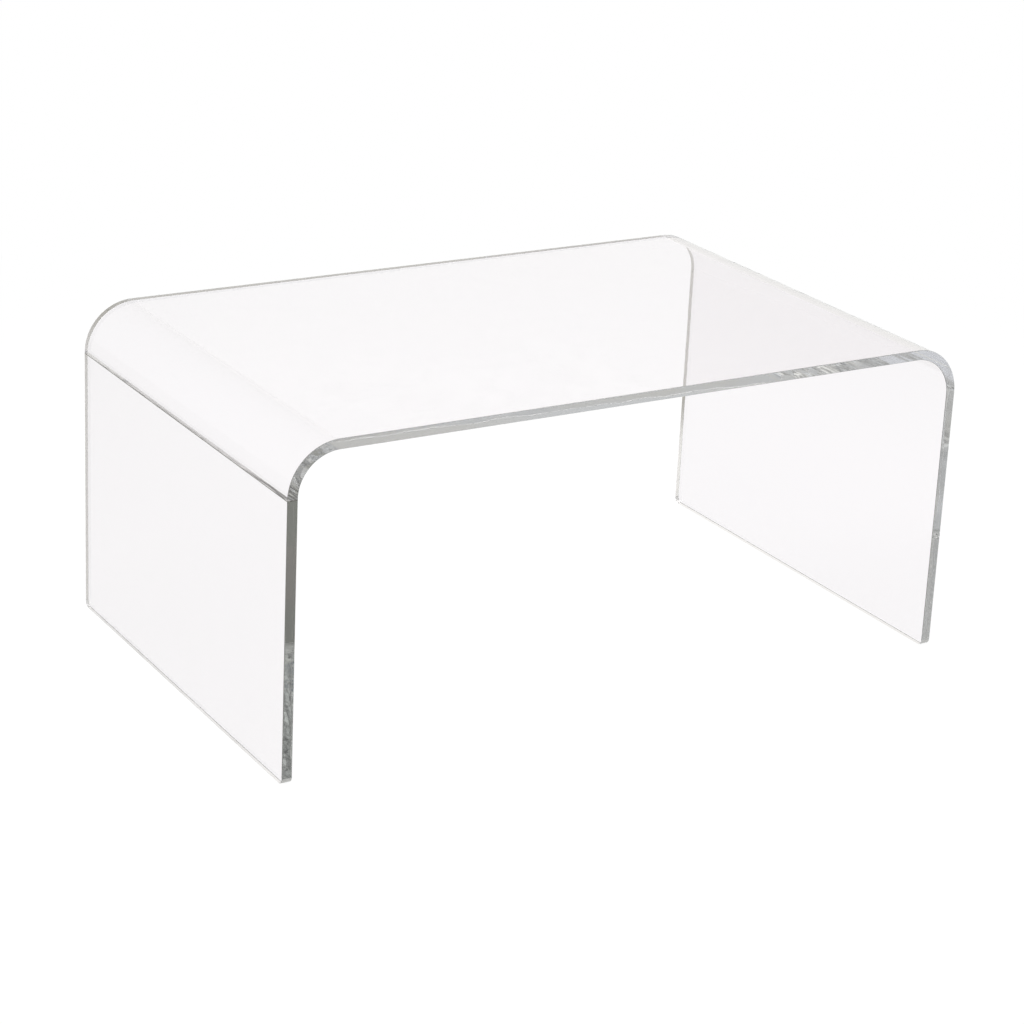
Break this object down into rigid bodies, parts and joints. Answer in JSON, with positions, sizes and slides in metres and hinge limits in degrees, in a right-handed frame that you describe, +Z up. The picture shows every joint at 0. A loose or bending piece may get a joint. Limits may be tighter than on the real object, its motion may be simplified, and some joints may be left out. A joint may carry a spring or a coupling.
{
  "type": "waterfall coffee table",
  "caption": "Low waterfall table in clear acrylic: a flat top that runs over a round bend at each end into a plain sheet leg, open at front and back.",
  "frame": {"origin": "on the floor, under the middle of the top", "axes": "+X along the table from the left leg to the right leg, +Y from front to back, +Z up"},
  "size_m": [0.914, 0.559, 0.4],
  "materials": {
    "clear_sheet": "clear cast acrylic, polished faces and edges",
    "cured_cement": "cured clear acrylic cement, seen edge on as a dull line"
  },
  "bodies": {
    "root": {"bent_sheet": "clear_sheet", "left_leg": "clear_sheet", "joint_cement": "cured_cement"}
  },
  "joints": []
}
